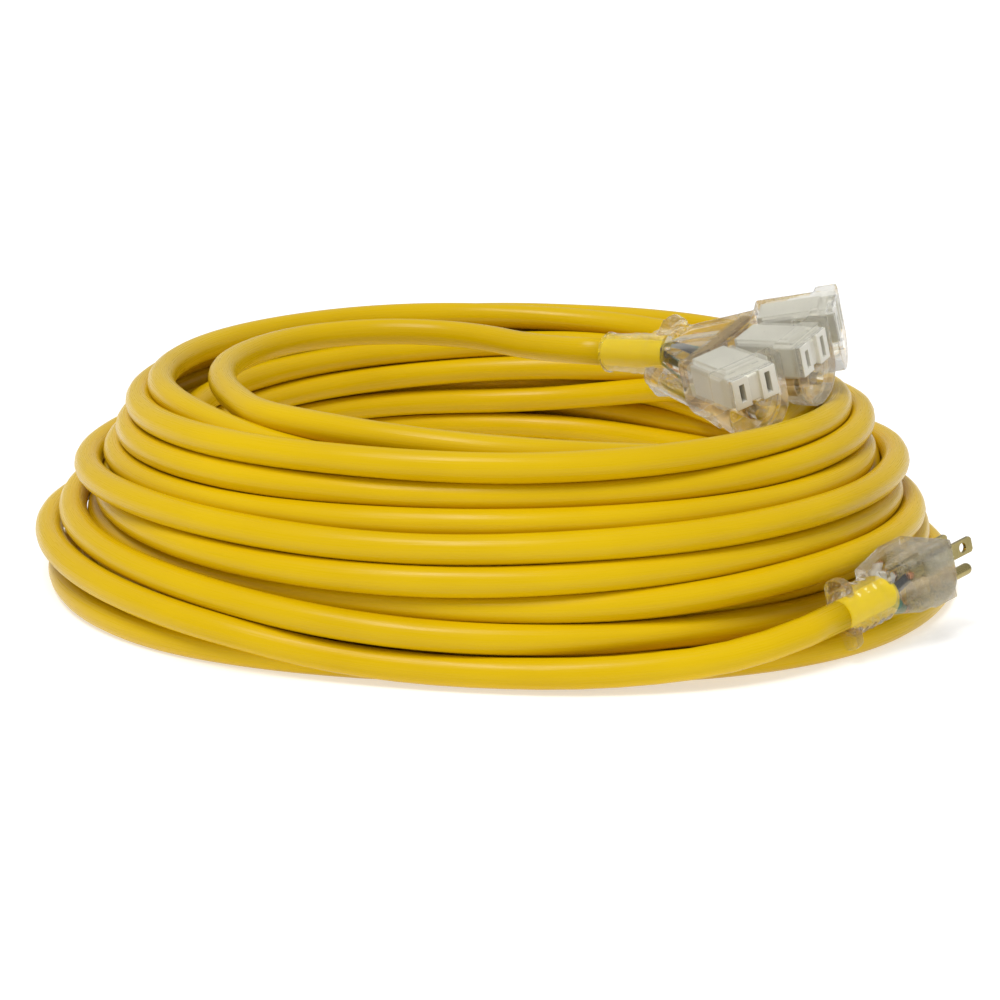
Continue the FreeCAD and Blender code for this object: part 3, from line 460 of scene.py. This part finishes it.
class Shape:
    """Closed solids added to one mesh, in an end's local frame."""

    def __init__(self):
        self.mesh = bmesh.new()

    def hull(self, corners, place=Matrix()):
        """Solid round a set of corners."""
        verts = [self.mesh.verts.new(place @ Vector(c)) for c in corners]
        made = bmesh.ops.convex_hull(self.mesh, input=verts)
        spare = made["geom_interior"] + made["geom_unused"]
        loose = {g for g in spare if isinstance(g, bmesh.types.BMVert)}
        bmesh.ops.delete(self.mesh, geom=list(loose), context="VERTS")

    def box(self, low, high, place=Matrix()):
        """Block between two corners."""
        self.hull([(x, y, z) for x in (low[0], high[0]) for y in (low[1], high[1])
                   for z in (low[2], high[2])], place)

    def rod(self, start, length, radius, place=Matrix(), end_radius=None, squash=1.0):
        """Round bar along +X; squash makes it oval in Z."""
        end_radius = radius if end_radius is None else end_radius
        corners = []
        for n in range(ROUND_SIDES):
            a = 2 * math.pi * n / ROUND_SIDES
            for along, r in ((0, radius), (length, end_radius)):
                corners.append((start[0] + along, start[1] + r * math.cos(a),
                                start[2] + r * squash * math.sin(a)))
        self.hull(corners, place)

    def profile(self, x0, x1, width, above, centre, place=Matrix(), end_scale=1.0):
        """Flat-topped, round-bottomed bar along +X; end_scale makes its rear end smaller."""
        outline = [(-width / 2, above), (width / 2, above)]
        for n in range(ARC_STEPS + 1):
            a = math.pi * n / ARC_STEPS
            outline.append((width / 2 * math.cos(a), centre - width / 2 * math.sin(a)))
        corners = []
        for x, scale in ((x0, end_scale), (x1, 1.0)):
            corners += [(x, y * scale, z * scale) for y, z in outline]
        self.hull(corners, place)

    def bar(self, p0, p1, radius):
        """Round bar between two points."""
        axis = Vector(p1) - Vector(p0)
        turn = axis.to_track_quat("X", "Z").to_matrix().to_4x4()
        self.rod((0, 0, 0), axis.length, radius, Matrix.Translation(p0) @ turn)

    def ring(self, centre, radius, thick):
        """Rounded ring round the X axis."""
        turn = Matrix.Translation(centre) @ Matrix.Rotation(math.radians(90), 4, "Y")
        rows = []
        for n in range(ROUND_SIDES):
            a = 2 * math.pi * n / ROUND_SIDES
            row = []
            for m in range(RING_SIDES):
                b = 2 * math.pi * m / RING_SIDES
                r = radius + thick * math.cos(b)
                spot = Vector((-r * math.sin(a), r * math.cos(a), thick * math.sin(b)))
                row.append(self.mesh.verts.new(turn @ spot))
            rows.append(row)
        for n in range(ROUND_SIDES):
            a, b = rows[n], rows[(n + 1) % ROUND_SIDES]
            for m in range(RING_SIDES):
                after = (m + 1) % RING_SIDES
                self.mesh.faces.new((a[m], b[m], b[after], a[after]))

    def to_mesh(self, name):
        """The finished mesh, with every face turned outward."""
        bmesh.ops.recalc_face_normals(self.mesh, faces=self.mesh.faces)
        mesh = bpy.data.meshes.new(name)
        self.mesh.to_mesh(mesh)
        self.mesh.free()
        return mesh


def baked(piece):
    """Turn an object's modifiers into its mesh."""
    bpy.context.view_layer.update()
    shaped = piece.evaluated_get(bpy.context.evaluated_depsgraph_get())
    mesh = bpy.data.meshes.new_from_object(shaped)
    piece.modifiers.clear()
    old = piece.data
    piece.data = mesh
    bpy.data.meshes.remove(old)


SHARP_ANGLE = 40.0


def moulded(name, shape, matrix, material, voxel, soften, cut=None):
    """One closed, softly rounded piece from overlapping solids, less what is cut from it."""
    piece = shown(name, shape.to_mesh(name))
    remesh = piece.modifiers.new("merge", "REMESH")
    remesh.mode = "VOXEL"
    remesh.voxel_size = voxel
    remesh.use_smooth_shade = True
    smooth = piece.modifiers.new("round", "SMOOTH")
    smooth.factor = 0.5
    smooth.iterations = soften
    baked(piece)
    if cut:
        tool = shown(name + "_tool", cut.to_mesh(name + "_tool"))
        knife = piece.modifiers.new("cut", "BOOLEAN")
        knife.operation = "DIFFERENCE"
        knife.object = tool
        knife.solver = "EXACT"
        baked(piece)
        bpy.data.objects.remove(tool)
    piece.data.transform(matrix)
    piece.data.materials.append(material)
    piece.data.polygons.foreach_set("use_smooth", [True] * len(piece.data.polygons))
    piece.data.set_sharp_from_angle(angle=math.radians(SHARP_ANGLE))
    return piece


def plug_moulding():
    """Clear plug: front block, tapered shoulder, ribbed neck, finger flange at the rear."""
    axis = -PLUG_DROP
    wide, top = 27.0, 8.5
    neck = 9.0
    ear_wide, ear_high = 6.4, 10.0
    shape = Shape()
    shape.profile(-15.0, -0.2, wide, top, axis)
    shape.profile(-2.6, 0.0, 24.5, 7.3, axis)
    shape.profile(-33.0, -14.0, wide, top, axis, end_scale=0.70)
    shape.rod((-50.0, 0, axis), 20.0, neck)
    for n in range(4):
        shape.ring((-47.0 + 4.6 * n, 0, axis), neck, 1.15)
    shape.rod((-PLUG_LENGTH, 0, axis), 4.0, 8.0)
    flange = Matrix.Translation((2.0 - PLUG_LENGTH, 0, axis))
    for z in (ear_high, -ear_high):
        shape.rod((-2.0, 0, z), 4.0, ear_wide, flange, squash=0.75)
    shape.box((-2.0, -ear_wide, -ear_high), (2.0, ear_wide, ear_high), flange)
    return moulded("plug_moulding", shape, PLUG, CLEAR, 0.55, 12)


def outlet_matrices():
    """Each outlet's face in the tap's frame: +X out of the face."""
    side = OUTLET_REACH - OUTLET_SETBACK
    places = {"front": (side, -OUTLET_PITCH, -OUTLET_FAN), "middle": (OUTLET_REACH, 0.0, 0.0),
              "rear": (side, OUTLET_PITCH, OUTLET_FAN)}
    return {key: Matrix.Translation((x, y, 0)) @ Matrix.Rotation(math.radians(a), 4, "Z")
            for key, (x, y, a) in places.items()}


OUTLETS = outlet_matrices()
HOUSING_CENTRE = -4.0                        # of each outlet housing's round lower part
GROUND_HOLE_DROP = -7.9
GROUND_HOLE_RADIUS = 2.7
INSERT_HALF = 10.6                           # half the white insert's width
INSERT_LOW, INSERT_HIGH = -2.6, 10.6


def tap_moulding():
    """Clear tap: round neck, leaning ears, spreading web and three outlet housings."""
    shape = Shape()
    shape.rod((0, 0, 0), 32.0, 8.2, end_radius=9.2)
    for x in (1.2, 15.0, 19.0):
        shape.ring((x, 0, 0), 8.3, 0.9)
    lean = Matrix.Translation((29.0, 0, 0)) @ Matrix.Rotation(math.radians(-28.0), 4, "X")
    ear_thick, ear_wide = 2.6, 7.6
    for end, tilt in ((1, 24.0), (-1, -6.0)):
        ear = lean @ Matrix.Rotation(math.radians(tilt), 4, "Y")
        low, high = sorted((0, end * 15.0))
        shape.box((-ear_thick, -ear_wide, low), (ear_thick, ear_wide, high), ear)
        shape.rod((-ear_thick, 0, end * 11.5), 2 * ear_thick, ear_wide, ear, squash=0.9)
    shape.rod((26.0, 0, 0), 14.0, 10.5, end_radius=12.0)
    shape.hull([(37, y, z) for y in (-12, 12) for z in (-10, 9)]
               + [(68, y, z) for y in (-34, 34) for z in (-12, 10)]
               + [(82, y, z) for y in (-43, 43) for z in (-12.5, 10.5)])
    shape.bar((28.0, -7.0, -6.0), (62.0, -25.0, -6.5), 6.0)
    shape.bar((28.0, 7.0, -4.0), (62.0, 25.0, -4.0), 6.0)
    cut = Shape()
    for place in OUTLETS.values():
        shape.profile(-36.0, -9.0, 27.5, 12.5, HOUSING_CENTRE, place)
        shape.profile(-10.0, -0.2, 30.0, 14.0, HOUSING_CENTRE, place)
        shape.profile(-3.0, 0.0, 27.6, 12.8, HOUSING_CENTRE, place)
        cut.rod((-8.0, 0, GROUND_HOLE_DROP), 12.0, GROUND_HOLE_RADIUS, place)
        cut.box((-4.0, -INSERT_HALF, INSERT_LOW), (4.0, INSERT_HALF, INSERT_HIGH), place)
    return moulded("tap_moulding", shape, TAP, CLEAR, 0.7, 7, cut)


def outlet_face(name, place):
    """White insert of one outlet: two raised frames with the blade slots through them."""
    shape = Shape()
    shape.box((-31.0, -INSERT_HALF, INSERT_LOW), (-4.0, INSERT_HALF, INSERT_HIGH), place)
    shape.box((-33.0, -8.0, 3.0), (-7.0, 8.0, 12.2), place)
    shape.box((-20.0, -2.2, -2.0), (-1.6, 2.2, 9.0), place)
    for y in (-6.7, 6.7):
        shape.box((-20.0, y - 3.9, INSERT_LOW), (0.3, y + 3.9, INSERT_HIGH), place)
    cut = Shape()
    cut.box((-12.0, -7.6, 0.2), (4.0, -5.1, 7.8), place)
    cut.box((-12.0, 5.1, -0.6), (4.0, 7.6, 8.6), place)
    return moulded(name, shape, TAP, IVORY, 0.35, 2, cut)


plug_clear = plug_moulding()
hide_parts("plug_body")
tap_clear = tap_moulding()
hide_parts("tap_body")
for piece in (plug_clear, tap_clear):
    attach(piece, "root")
for key, place in OUTLETS.items():
    face = outlet_face(key + "_insert", place)
    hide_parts(key + "_outlet_insert")
    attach(face, "root")

# ---------------------------------------------------------------- finishes of the CAD pieces
# The jacket ends take the lighter yellow, painted light for the shade under the clear plastic.
FINISH = [
    ("jacket_end", YELLOW_PAINTED_LIGHT_END), ("blade_carrier", CARRIER), ("black_conductor", BLACK),
    ("white_conductor", WHITE), ("green_conductor", GREEN), ("copper_ends", COPPER),
    ("_contact", SPRING), ("bus_bar", SPRING), ("hot_blade", BRASS), ("neutral_blade", BRASS),
    ("ground_pin", BRASS), ("indicator_lamp", LENS), ("indicator_resistor", RESISTOR),
]
for name, node in nodes.items():
    for key, material in FINISH:
        if key in name:
            for slot in node.material_slots:
                slot.material = material

# ---------------------------------------------------------------- floor and light
# The floor gives off some light of its own, so that it stays white and the contact shadow stays light.
FLOOR_HALF = 30.0
floor_mesh = bpy.data.meshes.new("floor")
floor_corners = [(x * FLOOR_HALF, y * FLOOR_HALF, 0) for x, y in ((-1, -1), (1, -1), (1, 1), (-1, 1))]
floor_mesh.from_pydata(floor_corners, [], [(0, 1, 2, 3)])
floor_stuff = Stuff("pale_floor", (0.64, 0.64, 0.64), 0.6, Specular_IOR_Level=0.2,
                    Emission_Color=(1, 1, 1, 1), Emission_Strength=0.5)
floor = shown("floor", floor_mesh, floor_stuff.material)

world = bpy.data.worlds.new("studio")
world.use_nodes = True
background = world.node_tree.nodes["Background"]
background.inputs["Color"].default_value = (1.0, 1.0, 1.0, 1)
background.inputs["Strength"].default_value = 0.5
bpy.context.scene.world = world

key_data = bpy.data.lights.new("key_light", "SUN")
key_data.energy = 2.0
key_data.angle = math.radians(25.0)          # wide, for soft edges
key_light = bpy.data.objects.new("key_light", key_data)
key_light.rotation_euler = (math.radians(24.0), 0, math.radians(-25.0))
bpy.context.scene.collection.objects.link(key_light)
bpy.context.scene.view_settings.view_transform = "Standard"
